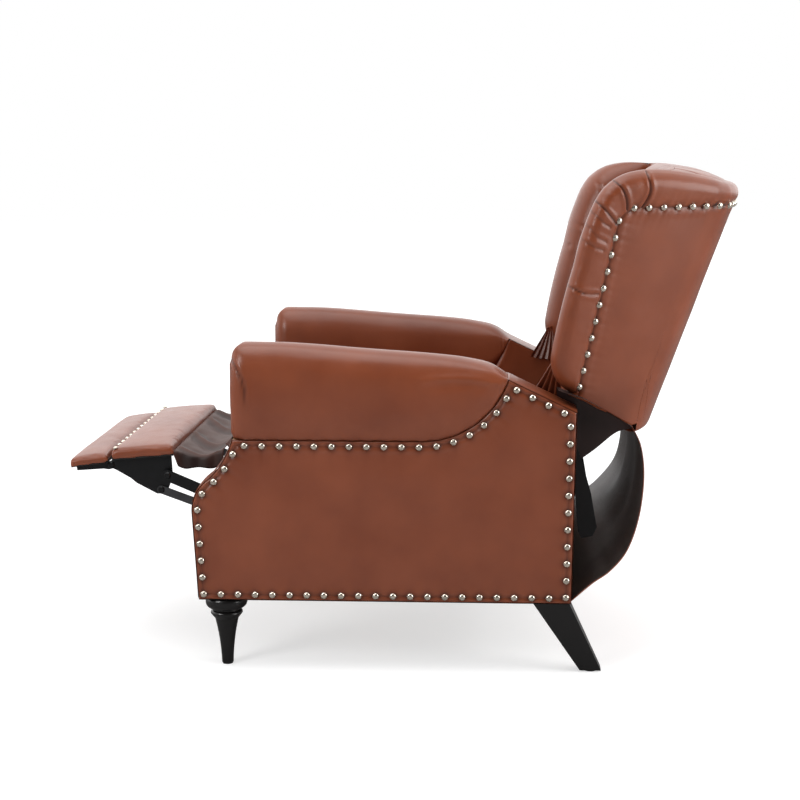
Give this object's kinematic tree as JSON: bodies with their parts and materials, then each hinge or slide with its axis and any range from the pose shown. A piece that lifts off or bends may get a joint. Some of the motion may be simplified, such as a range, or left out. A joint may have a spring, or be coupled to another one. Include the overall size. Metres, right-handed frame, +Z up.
{
  "type": "wingback recliner",
  "caption": "Push-back wingback recliner in brown leather with rolled arms, nail-head trim, turned front legs and a fold-out two-part footrest on a steel link mechanism.",
  "frame": {"origin": "on the floor under the middle of the chair's bounding box, with the footrest out", "axes": "+X to the sitter's left, +Y to the rear, +Z up; the chair faces -Y"},
  "size_m": [0.7022, 1.3218, 0.9644],
  "materials": {
    "leather": "semi-gloss brown leather",
    "nailhead": "polished pale nickel",
    "leg_wood": "black satin lacquer",
    "frame_wood": "raw plywood and pine",
    "mechanism": "black powder coat",
    "spring_steel": "oiled wire",
    "glide": "hard nylon",
    "skirt_leather": "brown leather, dark grey backing"
  },
  "bodies": {
    "base": {"outer_panel_left": "leather", "outer_panel_right": "leather", "side_boards": "frame_wood", "inner_panel_left": "leather", "inner_panel_right": "leather", "front_posts": "frame_wood", "rear_posts": "frame_wood", "arm_top_boards": "frame_wood", "arm_roll_left": "leather", "arm_roll_right": "leather", "rear_rail": "frame_wood", "stretcher": "frame_wood", "front_leg_left": "leg_wood", "front_leg_right": "leg_wood", "rear_leg_left": "leg_wood", "rear_leg_right": "leg_wood", "leg_glides": "glide", "side_nails": "nailhead", "back_skirt": "skirt_leather", "base_rail_left": "mechanism", "base_rail_right": "mechanism", "base_cross_tube": "mechanism"},
    "front_swing": {"front_swing_link_left": "mechanism", "front_swing_link_right": "mechanism"},
    "rear_swing": {"rear_swing_link_left": "mechanism", "rear_swing_link_right": "mechanism"},
    "seat": {"seat_plate_left": "mechanism", "seat_plate_right": "mechanism", "seat_front_rail": "frame_wood", "seat_rear_rail": "frame_wood", "seat_side_rails": "frame_wood", "seat_springs": "spring_steel", "seat_cushion": "leather", "seat_border": "leather", "seat_apron": "leather"},
    "support": {"support_link_left": "mechanism", "support_link_right": "mechanism"},
    "parallel": {"parallel_links": "mechanism"},
    "carry": {"carry_link_left": "mechanism", "carry_link_right": "mechanism"},
    "footrest": {"ottoman_bracket_left": "mechanism", "ottoman_bracket_right": "mechanism", "ottoman_board": "frame_wood", "ottoman_pad": "leather", "footrest_flap": "leather", "footrest_nails": "nailhead"},
    "control": {"control_rods": "mechanism"},
    "flipper": {"flipper_arms": "mechanism", "flipper_board": "frame_wood", "flipper_pad": "leather"},
    "bracket": {"back_brackets": "mechanism"},
    "back": {"wing_left": "leather", "wing_right": "leather", "outer_back": "leather", "back_cushion": "leather", "tuft_buttons": "leather", "back_top_roll": "leather", "back_frame": "frame_wood", "back_plates": "mechanism", "back_nails": "nailhead"}
  },
  "joints": [
    {"name": "swing_front", "type": "hinge", "parent": "base", "child": "front_swing", "pos_m": [0, -0.1063, 0.19], "axis": [1, 0, 0], "range_deg": [0, 44.5], "deforming": ["back_skirt", "seat_apron"]},
    {"name": "swing_rear", "type": "hinge", "parent": "base", "child": "rear_swing", "pos_m": [0, 0.1237, 0.19], "axis": [1, 0, 0], "range_deg": [0, 44.5]},
    {"name": "seat_level", "type": "hinge", "parent": "front_swing", "child": "seat", "pos_m": [0, 0.00585, 0.30412], "axis": [1, 0, 0], "range_deg": [-44.5, 0]},
    {"name": "support_fold", "type": "hinge", "parent": "seat", "child": "support", "pos_m": [0, -0.1486, 0.3074], "axis": [1, 0, 0], "range_deg": [0, 119.1]},
    {"name": "parallel_fold", "type": "hinge", "parent": "seat", "child": "parallel", "pos_m": [0, -0.10721, 0.28974], "axis": [1, 0, 0], "range_deg": [0, 119.1]},
    {"name": "carry_fold", "type": "hinge", "parent": "support", "child": "carry", "pos_m": [0, -0.31333, 0.2979], "axis": [1, 0, 0], "range_deg": [-119.1, 0]},
    {"name": "footrest_fold", "type": "hinge", "parent": "carry", "child": "footrest", "pos_m": [0, -0.46333, 0.3619], "axis": [1, 0, 0], "range_deg": [0, 85]},
    {"name": "control_fold", "type": "hinge", "parent": "footrest", "child": "control", "pos_m": [0, -0.47833, 0.3319], "axis": [1, 0, 0], "range_deg": [-83.85, 0]},
    {"name": "flipper_fold", "type": "hinge", "parent": "footrest", "child": "flipper", "pos_m": [0, -0.5773, 0.38], "axis": [1, 0, 0], "range_deg": [0, 100]},
    {"name": "bracket_tip", "type": "hinge", "parent": "seat", "child": "bracket", "pos_m": [0, 0.2837, 0.4], "axis": [1, 0, 0], "range_deg": [0, 7]},
    {"name": "back_recline", "type": "hinge", "parent": "bracket", "child": "back", "pos_m": [0, 0.3137, 0.44], "axis": [1, 0, 0], "range_deg": [-15, 0]}
  ],
  "couplings": [
    {"joint": "swing_rear", "follows": "swing_front", "ratio": 1},
    {"joint": "seat_level", "follows": "swing_front", "ratio": -1},
    {"joint": "support_fold", "follows": "swing_front", "ratio": 2.6764},
    {"joint": "parallel_fold", "follows": "swing_front", "ratio": 2.6764},
    {"joint": "carry_fold", "follows": "swing_front", "ratio": -2.6764},
    {"joint": "footrest_fold", "follows": "swing_front", "ratio": 1.9101},
    {"joint": "control_fold", "follows": "swing_front", "ratio": -1.8843},
    {"joint": "flipper_fold", "follows": "swing_front", "ratio": 2.2472},
    {"joint": "bracket_tip", "follows": "swing_front", "ratio": 0.1573}
  ]
}
